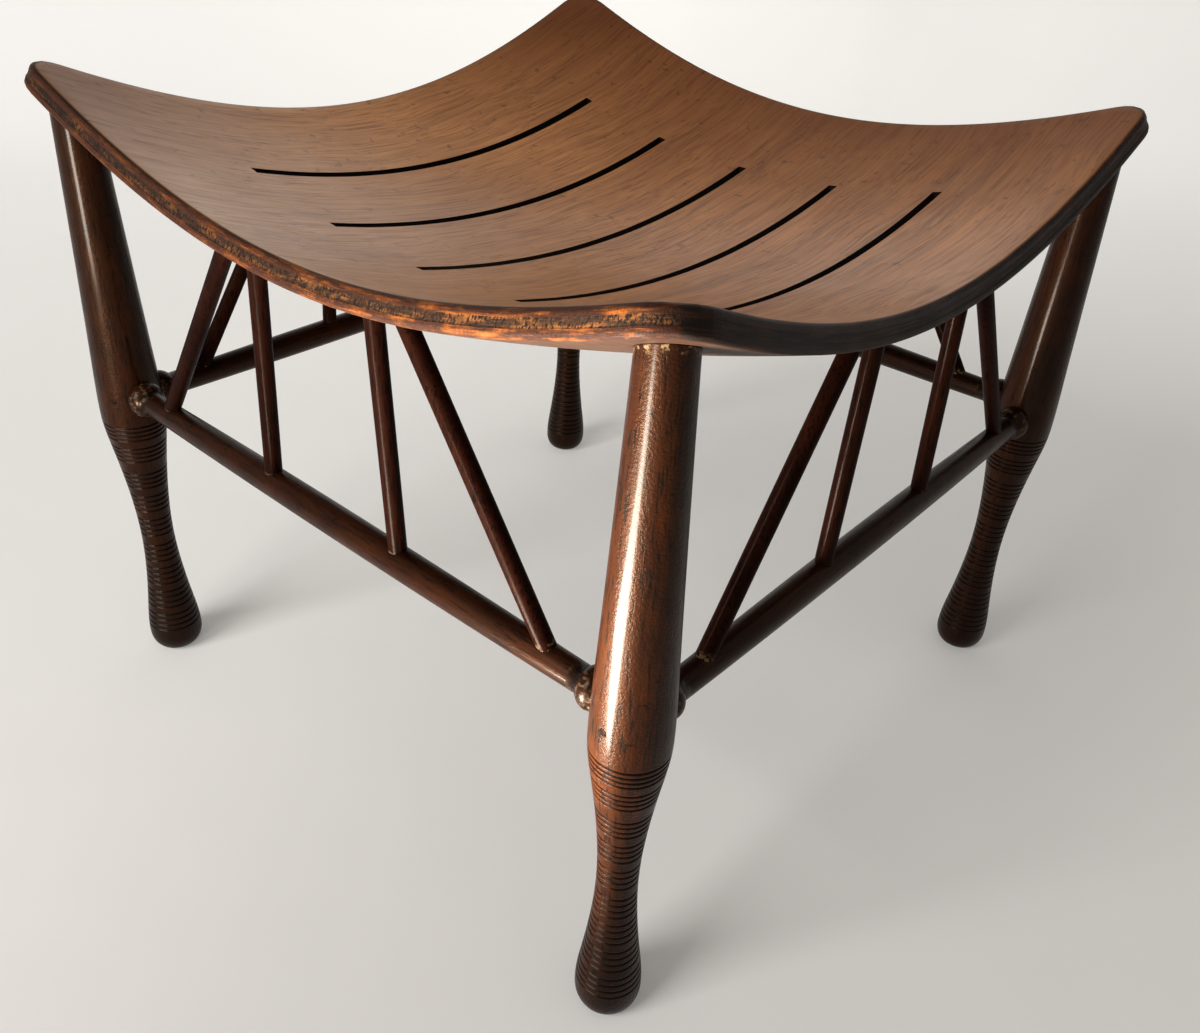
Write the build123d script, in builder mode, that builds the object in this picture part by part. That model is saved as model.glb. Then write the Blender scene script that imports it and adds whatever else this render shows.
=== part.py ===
"""A square stool with a dished, slotted plywood seat on four turned legs.

Millimetres, +Z up. The origin is on the floor under the middle of the seat.
The seat's slots and the grain of its face veneers run along Y.
"""

from build123d import *
from build123d.topology import SkipClean

import os
from math import cos, hypot, radians, sin, sqrt

os.makedirs("parts", exist_ok=True)

# Seat board: its plan, its dish and its three plies
seat_width = 430.0
seat_depth = 430.0
seat_low_height = 295.2
side_rise = 36.3
end_rise = 42.0
corner_lift = 17.5
corner_ease = 5.0
seat_corner_radius = 21.0
face_ply = 4.0
core_ply = 4.0
seat_edge_radius = 2.8
edge_limit_share = 0.7
surface_margin = 15.0
surface_steps = 12

# Slots through the board
slot_count = 5
slot_pitch = 66.9
slot_length = 273.0
slot_width = 5.5

# Turned legs: heights from the floor, radii, and how steep the outline is there
leg_inset = 16.5
foot_flat_radius = 9.5
foot_height = 12.0
foot_radius = 16.7
flare_height = 42.7
flare_radius = 13.5
flare_slope_share = -0.125
waist_height = 91.0
waist_radius = 9.95
shoulder_height = 153.5
shoulder_radius = 15.4
shoulder_slope_share = 0.15
belly_height = 181.0
belly_radius = 18.4
taper_height = 225.0
taper_radius = 16.8
taper_slope_share = -0.044
leg_top_radius = 10.9
leg_top_slope_share = -0.037
leg_tenon_radius = 6.0
leg_tenon_into_core = 0.8
seam_angle = 45.0
outline_steps = 10

# Turned rings on the lower leg: groups of grooves with plain bands between them
rings_below_belly = 4.8
rings_above_foot = 7.6
ring_group_shares = (0.0, 0.098, 0.2235, 0.336, 0.454, 0.58, 0.6935, 0.808, 0.922)
grooves_per_group = 4
groove_pitch_top = 3.0
groove_pitch = 4.0
groups_to_full_pitch = 4
groove_width = 1.5
groove_depth = 0.75
band_steps = 2

# Stretcher rails: long tenons across the width, short ones along the depth
width_rail_height = 194.2
rail_drop = 6.0
rail_end_radius = 6.9
rail_middle_radius = 8.3
collar_length = 8.5
collar_radius = 10.5
collar_seat_radius = 9.2
rail_tenon_radius = 5.0
tenon_past_axis = 8.0
tenon_web = 3.0

# Spindles between a rail and the seat, placed as shares of the leg's offset
spindle_radius = 4.6
spindle_foot_shares = (-0.744, -0.2525, 0.2525, 0.744)
spindle_top_shares = (-0.324, -0.2155, 0.2155, 0.324)
spindle_foot_depth = 5.0
spindle_into_core = 1.0

# Pegs through the long tenons, and how far each is turned towards its rail
peg_radius = 2.0
peg_past_tenon = 1.0
left_peg_angle = 33.0
right_peg_angle = 3.0

# Fits
glue_gap = 0.08
end_gap = 0.5
overrun = 20.0

# Sizes that follow from those above
seat_thickness = 2 * face_ply + core_ply
depth_rail_height = width_rail_height - rail_drop
half_width = seat_width / 2
half_depth = seat_depth / 2
leg_x = half_width - leg_inset
leg_y = half_depth - leg_inset
edge_radius = min(seat_edge_radius, face_ply * edge_limit_share)
upright = Vector(0, 0, 1)


def dish_height(x, y):
    """Height of the seat's upper face over a point of the floor."""
    u = x / half_width
    v = y / half_depth
    bowl = side_rise * u**2 + end_rise * v**2
    return seat_low_height + bowl + corner_lift * (u * v) ** 2 - corner_ease * (u * v) ** 4


def dish_slope(x, y):
    """How steeply the seat's upper face climbs there."""
    u = x / half_width
    v = y / half_depth
    twist = 2 * corner_lift * u * v - 4 * corner_ease * (u * v) ** 3
    slope_x = (2 * side_rise * u + twist * v) / half_width
    slope_y = (2 * end_rise * v + twist * u) / half_depth
    return hypot(slope_x, slope_y)


def under_height(x, y):
    """Height of the seat's underside, where the legs and spindles meet it."""
    return dish_height(x, y) - seat_thickness * sqrt(1 + dish_slope(x, y) ** 2)


def corner_point(side_x, side_y, z):
    """A point on the axis of a corner's leg."""
    return Vector(side_x * leg_x, side_y * leg_y, z)


def leg_place(side_x, side_y):
    """Where a leg's turned shapes go, with their seam turned away from the rails."""
    return Location(corner_point(side_x, side_y, 0), (0, 0, seam_angle))


def rod(start, end, radius):
    """A plain round rod from one point to another."""
    run = end - start
    with BuildPart(Plane(origin=start, z_dir=run)) as piece:
        Cylinder(radius, run.length, align=(Align.CENTER, Align.CENTER, Align.MIN))
    return piece


def write(piece, name):
    """Label a finished piece and write its file."""
    piece.part.label = name
    export_step(piece.part, f"parts/{name}.step")


# Outline of the turned leg
leg_blank_top = dish_height(leg_x, leg_y)
leg_tenon_top = under_height(leg_x, leg_y) + face_ply + leg_tenon_into_core
leg_stations = (
    (foot_height, foot_radius, 0.0),
    (flare_height, flare_radius, flare_slope_share),
    (waist_height, waist_radius, 0.0),
    (shoulder_height, shoulder_radius, shoulder_slope_share),
    (belly_height, belly_radius, 0.0),
    (taper_height, taper_radius, taper_slope_share),
    (leg_blank_top, leg_top_radius, leg_top_slope_share),
)


def leg_radius(z):
    """Radius of the turned leg at a height, without its grooves."""
    for (z0, r0, slope0), (z1, r1, slope1) in zip(leg_stations, leg_stations[1:]):
        if z <= z1:
            break
    span = z1 - z0
    t = (z - z0) / span
    start = r0 * (2 * t**3 - 3 * t**2 + 1) + slope0 * span * (t**3 - 2 * t**2 + t)
    end = r1 * (3 * t**2 - 2 * t**3) + slope1 * span * (t**3 - t**2)
    return start + end


def leg_outline(z_from, z_to, steps, extra=0.0):
    """Points of the leg's plain outline between two heights, as radius and height."""
    heights = [z_from + (z_to - z_from) * n / steps for n in range(steps + 1)]
    return [(leg_radius(z) + extra, z) for z in heights]


def groove_heights():
    """Heights of the grooves' beds, from the top group down."""
    top = belly_height - rings_below_belly
    span = top - foot_height - rings_above_foot
    heights = []
    for group, share in enumerate(ring_group_shares):
        widening_share = min(1, group / groups_to_full_pitch)
        pitch = groove_pitch_top + (groove_pitch - groove_pitch_top) * widening_share
        heights += [top - span * share - pitch * n for n in range(grooves_per_group)]
    return heights


# Rails, each laid out in an upright plane: its run, the legs it joins and its tenons
rail_planes = {
    "front": Plane(origin=(0, -leg_y, width_rail_height), x_dir=(1, 0, 0), z_dir=(0, -1, 0)),
    "back": Plane(origin=(0, leg_y, width_rail_height), x_dir=(1, 0, 0), z_dir=(0, -1, 0)),
    "left": Plane(origin=(-leg_x, 0, depth_rail_height), x_dir=(0, 1, 0), z_dir=(1, 0, 0)),
    "right": Plane(origin=(leg_x, 0, depth_rail_height), x_dir=(0, 1, 0), z_dir=(1, 0, 0)),
}
rail_reach = {"front": leg_x, "back": leg_x, "left": leg_y, "right": leg_y}
long_tenon_reach = leg_x + tenon_past_axis
short_tenon_reach = leg_y - rail_tenon_radius - tenon_web
tenon_reach = {
    "front": long_tenon_reach,
    "back": long_tenon_reach,
    "left": short_tenon_reach,
    "right": short_tenon_reach,
}
shaft_half = {}
for rail, plane in rail_planes.items():
    shaft_half[rail] = rail_reach[rail] - leg_radius(plane.origin.Z) - collar_length


def rail_point(rail, along, rise=0.0):
    """A point over a rail's axis: its distance along, and its height above the axis."""
    return rail_planes[rail].from_local_coords(Vector(along, rise, 0))


def spindle_ends(rail, number, slack=0.0):
    """Both ends of a spindle, inside its sockets in the rail and the seat."""
    along = spindle_foot_shares[number] * rail_reach[rail]
    swell = (rail_middle_radius - rail_end_radius) * (1 - (along / shaft_half[rail]) ** 2)
    foot = rail_point(rail, along, rail_end_radius + swell)
    over = rail_point(rail, spindle_top_shares[number] * rail_reach[rail])
    head = Vector(over.X, over.Y, under_height(over.X, over.Y))
    way = (head - foot).normalized()
    top_depth = face_ply + spindle_into_core
    return foot - way * (spindle_foot_depth + slack), head + way * (top_depth + slack)


def peg_ends(side_x, side_y, slack=0.0):
    """A peg's outer end on the leg's surface and its inner end past the long tenon."""
    angle = radians(left_peg_angle if side_x < 0 else right_peg_angle)
    way = Vector(-side_x * sin(angle), side_y * cos(angle), 0)
    axis = corner_point(side_x, side_y, width_rail_height)
    past = rail_tenon_radius + peg_past_tenon + slack
    return axis + way * leg_radius(width_rail_height), axis - way * past


corners = {
    "front_left": (-1, -1, "front", "left"),
    "front_right": (1, -1, "front", "right"),
    "back_right": (1, 1, "back", "right"),
    "back_left": (-1, 1, "back", "left"),
}
spindle_numbers = range(len(spindle_foot_shares))

# Sockets that the seat, the rails and the legs share
spindle_sockets = {}
for rail in rail_planes:
    ends = [spindle_ends(rail, number, end_gap) for number in spindle_numbers]
    spindle_sockets[rail] = [rod(foot, head, spindle_radius + glue_gap).part for foot, head in ends]

seat_sockets = []
peg_holes = {}
for corner, (side_x, side_y, width_rail, depth_rail) in corners.items():
    low = corner_point(side_x, side_y, taper_height)
    high = corner_point(side_x, side_y, leg_tenon_top + end_gap)
    seat_sockets.append(rod(low, high, leg_tenon_radius + glue_gap).part)
    outer, inner = peg_ends(side_x, side_y, end_gap)
    peg_holes[corner] = rod(outer + (outer - inner), inner, peg_radius + glue_gap).part

for rail in rail_planes:
    seat_sockets.extend(spindle_sockets[rail])

# Seat board: one dished face, thickened ply by ply square to its surface
with BuildPart() as board_outline:
    with BuildSketch():
        RectangleRounded(seat_width, seat_depth, seat_corner_radius)
        with GridLocations(slot_pitch, 0, slot_count, 1):
            Rectangle(slot_width, slot_length, mode=Mode.SUBTRACT)
    extrude(amount=seat_low_height + side_rise + end_rise + corner_lift + overrun)


def dished_face():
    """The seat's upper face, a little larger than the board."""
    places = [2 * step / surface_steps - 1 for step in range(surface_steps + 1)]
    columns = [(half_width + surface_margin) * place for place in places]
    rows = [(half_depth + surface_margin) * place for place in places]
    grid = [[Vector(x, y, dish_height(x, y)) for y in rows] for x in columns]
    return Face.make_surface_from_array_of_points(grid)


def broad_faces(piece):
    """A ply's upper and lower faces, the upper one first."""
    return piece.faces().sort_by(SortBy.AREA)[-2:].sort_by(Axis.Z, reverse=True)


blank_face = dished_face()

# The trimmed face keeps its straight and rounded edges apart, so that each gets its own wall
with SkipClean():
    upper_face = (blank_face & board_outline.part).faces()[0]

with BuildPart() as seat_top_veneer:
    thicken(to_thicken=upper_face, amount=-face_ply, normal_override=upright)

with BuildPart() as seat_core:
    thicken(to_thicken=broad_faces(seat_top_veneer)[1], amount=-core_ply, normal_override=upright)

with BuildPart() as seat_under_veneer:
    thicken(to_thicken=broad_faces(seat_core)[1], amount=-face_ply, normal_override=upright)

with seat_top_veneer:
    fillet(broad_faces(seat_top_veneer)[0].outer_wire().edges(), edge_radius)

with seat_core:
    add(seat_sockets, mode=Mode.SUBTRACT)

with seat_under_veneer:
    fillet(broad_faces(seat_under_veneer)[1].outer_wire().edges(), edge_radius)
    add(seat_sockets, mode=Mode.SUBTRACT)

write(seat_top_veneer, "seat_top_veneer")
write(seat_core, "seat_core")
write(seat_under_veneer, "seat_under_veneer")

# Leg blank: the turned shape, with its rings, that each leg is cut from
with BuildPart() as leg_blank:
    with BuildSketch(Plane.XZ):
        with BuildLine():
            grooves = groove_heights()
            Spline(leg_outline(leg_blank_top, grooves[0] + groove_width / 2, outline_steps))
            for bed, next_bed in zip(grooves, grooves[1:] + [None]):
                upper = (leg_radius(bed + groove_width / 2), bed + groove_width / 2)
                lower = (leg_radius(bed - groove_width / 2), bed - groove_width / 2)
                ThreePointArc(upper, (leg_radius(bed) - groove_depth, bed), lower)
                band_end = foot_height if next_bed is None else next_bed + groove_width / 2
                Spline(leg_outline(bed - groove_width / 2, band_end, band_steps))
            TangentArc((foot_radius, foot_height), (foot_flat_radius, 0), tangent=(0, -1))
            Polyline((foot_flat_radius, 0), (0, 0), (0, leg_blank_top), (leg_top_radius, leg_blank_top))
        make_face()
    revolve(axis=Axis.Z)

# Space that the board takes above the legs, and the space that a leg takes beside a rail
with BuildPart() as board_space:
    thicken(to_thicken=blank_face, amount=seat_thickness + glue_gap, normal_override=upright, both=True)

scribe_low = min(width_rail_height, depth_rail_height) - 2 * collar_radius
scribe_high = max(width_rail_height, depth_rail_height) + 2 * collar_radius
with BuildPart() as leg_space:
    with BuildSketch(Plane.XZ):
        with BuildLine():
            Spline(leg_outline(scribe_high, scribe_low, outline_steps, glue_gap))
            low_radius = leg_radius(scribe_low) + glue_gap
            high_radius = leg_radius(scribe_high) + glue_gap
            Polyline((low_radius, scribe_low), (0, scribe_low), (0, scribe_high), (high_radius, scribe_high))
        make_face()
    revolve(axis=Axis.Z)

# Legs: scribed to the seat's underside, with a stub tenon up into it
for corner, (side_x, side_y, width_rail, depth_rail) in corners.items():
    shoulder = corner_point(side_x, side_y, taper_height)
    tenon = rod(shoulder, corner_point(side_x, side_y, leg_tenon_top), leg_tenon_radius).part
    openings = [peg_holes[corner]]
    for rail, side in ((width_rail, side_x), (depth_rail, side_y)):
        mouth = rail_point(rail, side * shaft_half[rail])
        bottom = rail_point(rail, side * (tenon_reach[rail] + end_gap))
        openings.append(rod(mouth, bottom, rail_tenon_radius + glue_gap).part)
    with BuildPart() as leg:
        add(leg_blank.part.moved(leg_place(side_x, side_y)))
        add(board_space.part, mode=Mode.SUBTRACT)
        add(tenon)
        add(openings, mode=Mode.SUBTRACT)
    write(leg, f"leg_{corner}")

    tenon_peg = rod(*peg_ends(side_x, side_y), peg_radius)
    write(tenon_peg, f"tenon_peg_{corner}")

# Rails: a swelling shaft, a collar scribed to each leg, and tenons into the legs
for rail, plane in rail_planes.items():
    shaft = shaft_half[rail]
    buried = rail_reach[rail]
    with BuildPart() as turned_rail:
        with BuildSketch(plane):
            with BuildLine():
                ThreePointArc((-shaft, rail_end_radius), (0, rail_middle_radius), (shaft, rail_end_radius))
                for side in (-1, 1):
                    crown = (side * (shaft + collar_length / 2), collar_radius)
                    seat = (side * (shaft + collar_length), collar_seat_radius)
                    ThreePointArc((side * shaft, rail_end_radius), crown, seat)
                    Polyline(seat, (side * buried, collar_seat_radius), (side * buried, 0))
                Line((-buried, 0), (buried, 0))
            make_face()
        revolve(axis=Axis(plane.origin, plane.x_dir))

    tips = [rail_point(rail, side * tenon_reach[rail]) for side in (-1, 1)]
    tenons = rod(*tips, rail_tenon_radius)
    joined = [corner for corner, place in corners.items() if rail in place]
    leg_places = [leg_place(*corners[corner][:2]) for corner in joined]
    with BuildPart() as stretcher:
        add(turned_rail.part)
        add([leg_space.part.moved(place) for place in leg_places], mode=Mode.SUBTRACT)
        add(tenons.part)
        add(spindle_sockets[rail], mode=Mode.SUBTRACT)
        if tenon_reach[rail] > rail_reach[rail]:
            add([peg_holes[corner] for corner in joined], mode=Mode.SUBTRACT)
    write(stretcher, f"rail_{rail}")

    for number in spindle_numbers:
        spindle = rod(*spindle_ends(rail, number), spindle_radius)
        write(spindle, f"spindle_{rail}_{number + 1}")
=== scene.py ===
import math

import bpy
from mathutils import Matrix, Vector


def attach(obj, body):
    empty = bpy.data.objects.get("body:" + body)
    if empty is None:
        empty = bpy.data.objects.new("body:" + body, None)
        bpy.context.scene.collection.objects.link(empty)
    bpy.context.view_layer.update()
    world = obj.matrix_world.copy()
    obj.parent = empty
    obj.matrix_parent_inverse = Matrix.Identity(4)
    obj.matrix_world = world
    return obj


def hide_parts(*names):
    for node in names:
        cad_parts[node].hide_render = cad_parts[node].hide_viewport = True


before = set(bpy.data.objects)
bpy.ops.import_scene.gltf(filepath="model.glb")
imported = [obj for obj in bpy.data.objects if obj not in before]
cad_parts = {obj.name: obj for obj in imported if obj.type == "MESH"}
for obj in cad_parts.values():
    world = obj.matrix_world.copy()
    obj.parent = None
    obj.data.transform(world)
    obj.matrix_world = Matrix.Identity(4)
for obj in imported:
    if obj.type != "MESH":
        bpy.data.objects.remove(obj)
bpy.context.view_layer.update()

mm = 0.001

# Viewpoint
# The stool is seen from above its nearest corner, close enough for the near leg
# to look much longer than the far ones.
camera_place = Vector((397.838, -472.111, 512.012)) * mm
camera_right = Vector((0.74999719, 0.6592356, 0.05396894))
camera_up = Vector((-0.39747607, 0.38397117, 0.83341401))
camera_back = Vector((0.52869367, -0.64650952, 0.55000768))
viewer = bpy.data.cameras.new("viewer")
viewer.sensor_width = 36.0
viewer.lens = 33.19
viewer.clip_start = 0.01
viewpoint = bpy.data.objects.new("viewpoint", viewer)
facing = Matrix((camera_right, camera_up, camera_back)).transposed().to_4x4()
viewpoint.matrix_world = Matrix.Translation(camera_place) @ facing
bpy.context.scene.collection.objects.link(viewpoint)
bpy.context.scene.camera = viewpoint

# Room
# A pale paper sweep under the stool, a window's soft light from the left front,
# and two patches of sunny paper that throw light up onto the legs.
bpy.context.scene.view_settings.view_transform = "Standard"


def add_nodes(tree, kind, inputs=None, **settings):
    """Add a node with its settings, and link or set its inputs."""
    node = tree.nodes.new(kind)
    for name, value in settings.items():
        setattr(node, name, value)
    for key, value in (inputs or {}).items():
        if isinstance(value, bpy.types.NodeSocket):
            tree.links.new(value, node.inputs[key])
        else:
            node.inputs[key].default_value = value
    return node


def reckon(tree, operation, first, second=0.0):
    """One sum on two numbers, in a node."""
    node = add_nodes(tree, "ShaderNodeMath", {0: first, 1: second}, operation=operation)
    return node.outputs[0]


def times(tree, first, *others):
    """The product of two or more numbers."""
    for other in others:
        first = reckon(tree, "MULTIPLY", first, other)
    return first


def move(tree, operation, first, second):
    """One sum on two vectors, or on a vector and its scale."""
    key = "Scale" if operation == "SCALE" else 1
    return add_nodes(tree, "ShaderNodeVectorMath", {0: first, key: second}, operation=operation)


def spread(tree, value, low, high, to_low=0.0, to_high=1.0):
    """A value stretched from one range to another, and kept inside it."""
    sockets = {
        "Value": value, "From Min": low, "From Max": high, "To Min": to_low, "To Max": to_high
    }
    return add_nodes(tree, "ShaderNodeMapRange", sockets, clamp=True).outputs["Result"]


def new_material(name):
    """An empty material, its tree, its object coordinates and its output node."""
    material = bpy.data.materials.new(name)
    material.use_nodes = True
    tree = material.node_tree
    tree.nodes.clear()
    spot = add_nodes(tree, "ShaderNodeTexCoord").outputs["Object"]
    return material, tree, spot, tree.nodes.new("ShaderNodeOutputMaterial")


def finish_material(tree, output, look):
    """Put a principled shader with its look on the material's output."""
    shader = add_nodes(tree, "ShaderNodeBsdfPrincipled", look)
    tree.links.new(shader.outputs["BSDF"], output.inputs["Surface"])


away = -Vector((camera_back.x, camera_back.y, 0)).normalized()
across = Vector((camera_right.x, camera_right.y, 0)).normalized()

paper, tree, spot, output = new_material("paper_sweep")
creases = add_nodes(tree, "ShaderNodeTexNoise", {"Vector": spot, "Scale": 3.0, "Detail": 3.0})
wave_sockets = {"Height": creases.outputs["Fac"], "Strength": 0.15, "Distance": 0.02}
waves = add_nodes(tree, "ShaderNodeBump", wave_sockets)

# The paper looks brighter towards the back of the room, but only to the eye and
# in reflections, so that it adds no light of its own.
near_distance, far_distance = -0.4, 1.2
near_lift, far_lift = 0.07, 0.36
distance = move(tree, "DOT_PRODUCT", spot, away * 0.99 - across * 0.08).outputs["Value"]
far = spread(tree, distance, near_distance, far_distance, near_lift, far_lift)
ray = tree.nodes.new("ShaderNodeLightPath").outputs
seen = reckon(tree, "MAXIMUM", ray["Is Camera Ray"], ray["Is Glossy Ray"])
paper_look = {
    "Base Color": (0.70, 0.69, 0.675, 1.0),
    "Roughness": 0.85,
    "Specular IOR Level": 0.2,
    "Normal": waves.outputs["Normal"],
    "Emission Color": (1.0, 1.0, 0.99, 1.0),
    "Emission Strength": times(tree, far, seen),
}
finish_material(tree, output, paper_look)

sweep_reach = 3.2
sweep_front = -1.6
sweep_flat = 1.0
sweep_bend = 0.5
sweep_top = 1.05
outline = [(sweep_front, 0.0), (sweep_flat, 0.0)]
for angle in range(10, 91, 10):
    turn = math.radians(angle)
    run = sweep_flat + sweep_bend * math.sin(turn)
    outline.append((run, sweep_bend * (1 - math.cos(turn))))
outline.append((sweep_flat + sweep_bend, sweep_top))
corners = [
    away * run + across * side + Vector((0, 0, rise))
    for run, rise in outline
    for side in (-sweep_reach, sweep_reach)
]
faces = [(2 * n, 2 * n + 1, 2 * n + 3, 2 * n + 2) for n in range(len(outline) - 1)]
sweep_mesh = bpy.data.meshes.new("paper_sweep")
sweep_mesh.from_pydata(corners, [], faces)
sweep_mesh.shade_smooth()
sweep_mesh.materials.append(paper)
sweep = bpy.data.objects.new("paper_sweep", sweep_mesh)
bpy.context.scene.collection.objects.link(sweep)


def hang_lamp(name, place, aim, size, power, colour, beam=180):
    """A flat lamp turned to its aim, with its beam in degrees, unseen by the camera."""
    lamp = bpy.data.lights.new(name, "AREA")
    lamp.shape = "RECTANGLE"
    lamp.size, lamp.size_y = size
    lamp.energy = power
    lamp.color = colour
    lamp.spread = math.radians(beam)
    holder = bpy.data.objects.new(name, lamp)
    holder.location = place
    holder.rotation_euler = (aim - place).to_track_quat("-Z", "Y").to_euler()
    holder.visible_camera = False
    bpy.context.scene.collection.objects.link(holder)


seat_middle = Vector((0, 0, 0.25))
window_place = Vector((-0.42, -2.4, 1.62))
hang_lamp("window", window_place, seat_middle, (1.3, 1.4), 60.0, (1.0, 0.985, 0.965))

# A strip of sunny paper in front of the near leg, turned up and aside so that it
# spares the left leg, and the paper further off that the left leg mirrors.
sunny_place = Vector((0.120, -0.69, 0.045))
sunny_aim = sunny_place + Vector((0.497, 0.057, 0.866))
hang_lamp("sunny_paper", sunny_place, sunny_aim, (0.60, 0.13), 40.0, (1.0, 0.91, 0.79), beam=150)
low_place = Vector((0.11, -1.15, 0.14))
left_leg = Vector((-0.1985, -0.1985, 0.27))
hang_lamp("paper_by_window", low_place, left_leg, (0.22, 0.26), 1.3, (1.0, 0.93, 0.84), beam=50)

sky = bpy.data.worlds.new("room")
bpy.context.scene.world = sky
sky.use_nodes = True
sky_light = sky.node_tree.nodes["Background"].inputs
sky_light["Color"].default_value = (1.0, 0.95, 0.87, 1.0)
sky_light["Strength"].default_value = 0.36

# Seat board
# Three plies of open-grained board pressed into a dish, with five long slots
# cut through and the corners and edges rounded over and polished dark.
seat_half = (215.0, 215.0)
seat_low = 295.2
side_rise = 36.3
end_rise = 42.0
corner_lift = 17.5
corner_ease = 5.0
corner_radius = 21.0
ply = 4.0
edge_round = 2.8
slot_places = [66.9 * n for n in (-2, -1, 0, 1, 2)]
slot_half_width = 5.5 / 2
slot_half_length = 273.0 / 2
cell = 7.5
core_inset = 0.15
sharp_angle = math.radians(45)


def dish(x, y):
    """Height of the board's upper face and its slopes along X and Y."""
    u, v = x / seat_half[0], y / seat_half[1]
    bowl = seat_low + side_rise * u**2 + end_rise * v**2
    height = bowl + corner_lift * (u * v) ** 2 - corner_ease * (u * v) ** 4
    twist = 2 * corner_lift * u * v - 4 * corner_ease * (u * v) ** 3
    slope_x = (2 * side_rise * u + twist * v) / seat_half[0]
    slope_y = (2 * end_rise * v + twist * u) / seat_half[1]
    return height, slope_x, slope_y


def underside(x, y):
    """Height of the board's underside over a point of the floor."""
    height, slope_x, slope_y = dish(x, y)
    return height - 3 * ply * math.sqrt(1 + slope_x**2 + slope_y**2)


def cut_lines(half, breaks):
    """Places of the blank's cross lines: its breaks, even cells and the rounded edge."""
    edge_turns = [math.radians(angle) for angle in (0, 18, 36, 54, 72, 90)]
    edge = [half - edge_round * (1 - math.sin(turn)) for turn in edge_turns]
    fixed = sorted(set(breaks) | {edge[0], half - corner_radius})
    fixed = sorted({round(sign * place, 4) for place in fixed for sign in (-1, 1)})
    lines = []
    for start, end in zip(fixed, fixed[1:]):
        count = max(1, math.ceil((end - start) / cell))
        lines += [start + (end - start) * n / count for n in range(count)]
    return [-place for place in reversed(edge[1:])] + lines + [fixed[-1]] + edge[1:]


def ply_blank(name, top, bottom, round_top, round_bottom, inset):
    """A flat ply with its slots and rounded corners, laid between two depths."""
    slot_sides = [abs(place) + side * slot_half_width for place in slot_places for side in (-1, 1)]
    lines_x = cut_lines(seat_half[0], slot_sides)
    lines_y = cut_lines(seat_half[1], [slot_half_length])
    shrink = 1 - inset / seat_half[0]
    posts, points, gaps, depths = {}, [], [], []

    def post(n, m):
        """The upper point of a crossing; its lower point comes next."""
        if (n, m) in posts:
            return posts[n, m]
        px, py = x, y = lines_x[n], lines_y[m]
        over_x = (abs(x) - seat_half[0] + corner_radius) / corner_radius
        over_y = (abs(y) - seat_half[1] + corner_radius) / corner_radius
        gap = min(seat_half[0] - abs(x), seat_half[1] - abs(y))
        if over_x > 0 and over_y > 0:
            turned_x = over_x * math.sqrt(1 - over_y**2 / 2)
            turned_y = over_y * math.sqrt(1 - over_x**2 / 2)
            px = math.copysign(seat_half[0] - corner_radius * (1 - turned_x), x)
            py = math.copysign(seat_half[1] - corner_radius * (1 - turned_y), y)
            gap = corner_radius * (1 - math.hypot(turned_x, turned_y))
        sunk = edge_round - math.sqrt(max(0.0, edge_round**2 - max(0.0, edge_round - gap) ** 2))
        posts[n, m] = len(points)
        upper = top + (sunk if round_top else 0)
        lower = bottom - (sunk if round_bottom else 0)
        for depth in (upper, lower):
            points.append((px * shrink * mm, py * shrink * mm, -depth * mm))
            gaps.append(gap)
            depths.append(depth)
        return posts[n, m]

    def solid(n, m):
        """Whether a cell is wood, not slot or off the board."""
        if not (0 <= n < len(lines_x) - 1 and 0 <= m < len(lines_y) - 1):
            return False
        middle_x = (lines_x[n] + lines_x[n + 1]) / 2
        middle_y = (lines_y[m] + lines_y[m + 1]) / 2
        by_slot = any(abs(middle_x - place) < slot_half_width for place in slot_places)
        return not (by_slot and abs(middle_y) < slot_half_length)

    skin, wall, in_slot = [], [], []
    for n in range(len(lines_x) - 1):
        for m in range(len(lines_y) - 1):
            if not solid(n, m):
                continue
            a, b, c, d = post(n, m), post(n + 1, m), post(n + 1, m + 1), post(n, m + 1)
            skin += [(a, b, c, d), (d + 1, c + 1, b + 1, a + 1)]
            sides = (((n, m - 1), a, b), ((n + 1, m), b, c), ((n, m + 1), c, d), ((n - 1, m), d, a))
            for beside, start, end in sides:
                if not solid(*beside):
                    wall.append((start, start + 1, end + 1, end))
                    in_slot.append(float(gaps[start] > edge_round))
    mesh = bpy.data.meshes.new(name)
    mesh.from_pydata(points, [], skin + wall)
    in_slot = [0.0] * len(skin) + in_slot
    for label, domain, values in (
        ("rim_gap", "POINT", gaps), ("ply_depth", "POINT", depths), ("slot_wall", "FACE", in_slot)
    ):
        mesh.attributes.new(label, "FLOAT", domain).data.foreach_set("value", values)
    mesh.update()
    return mesh


def shaping_tree(name, inputs):
    """A geometry tree with named inputs between its two geometry sockets."""
    tree = bpy.data.node_groups.new(name, "GeometryNodeTree")
    kinds = {float: "NodeSocketFloat", int: "NodeSocketInt"}
    tree.interface.new_socket("Geometry", in_out="INPUT", socket_type="NodeSocketGeometry")
    for label, value in inputs.items():
        entry = tree.interface.new_socket(label, in_out="INPUT", socket_type=kinds[type(value)])
        entry.default_value = value
    tree.interface.new_socket("Material", in_out="INPUT", socket_type="NodeSocketMaterial")
    tree.interface.new_socket("Geometry", in_out="OUTPUT", socket_type="NodeSocketGeometry")
    return tree, tree.nodes.new("NodeGroupInput").outputs


def end_shaping(tree, geometry, material):
    """End a geometry tree in real geometry with its material set."""
    whole = add_nodes(tree, "GeometryNodeRealizeInstances", {"Geometry": geometry})
    sockets = {"Geometry": whole.outputs[0], "Material": material}
    finished = add_nodes(tree, "GeometryNodeSetMaterial", sockets)
    tree.links.new(finished.outputs[0], tree.nodes.new("NodeGroupOutput").inputs[0])


def plus(tree, first, second):
    """The sum of two numbers."""
    return reckon(tree, "ADD", first, second)


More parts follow.
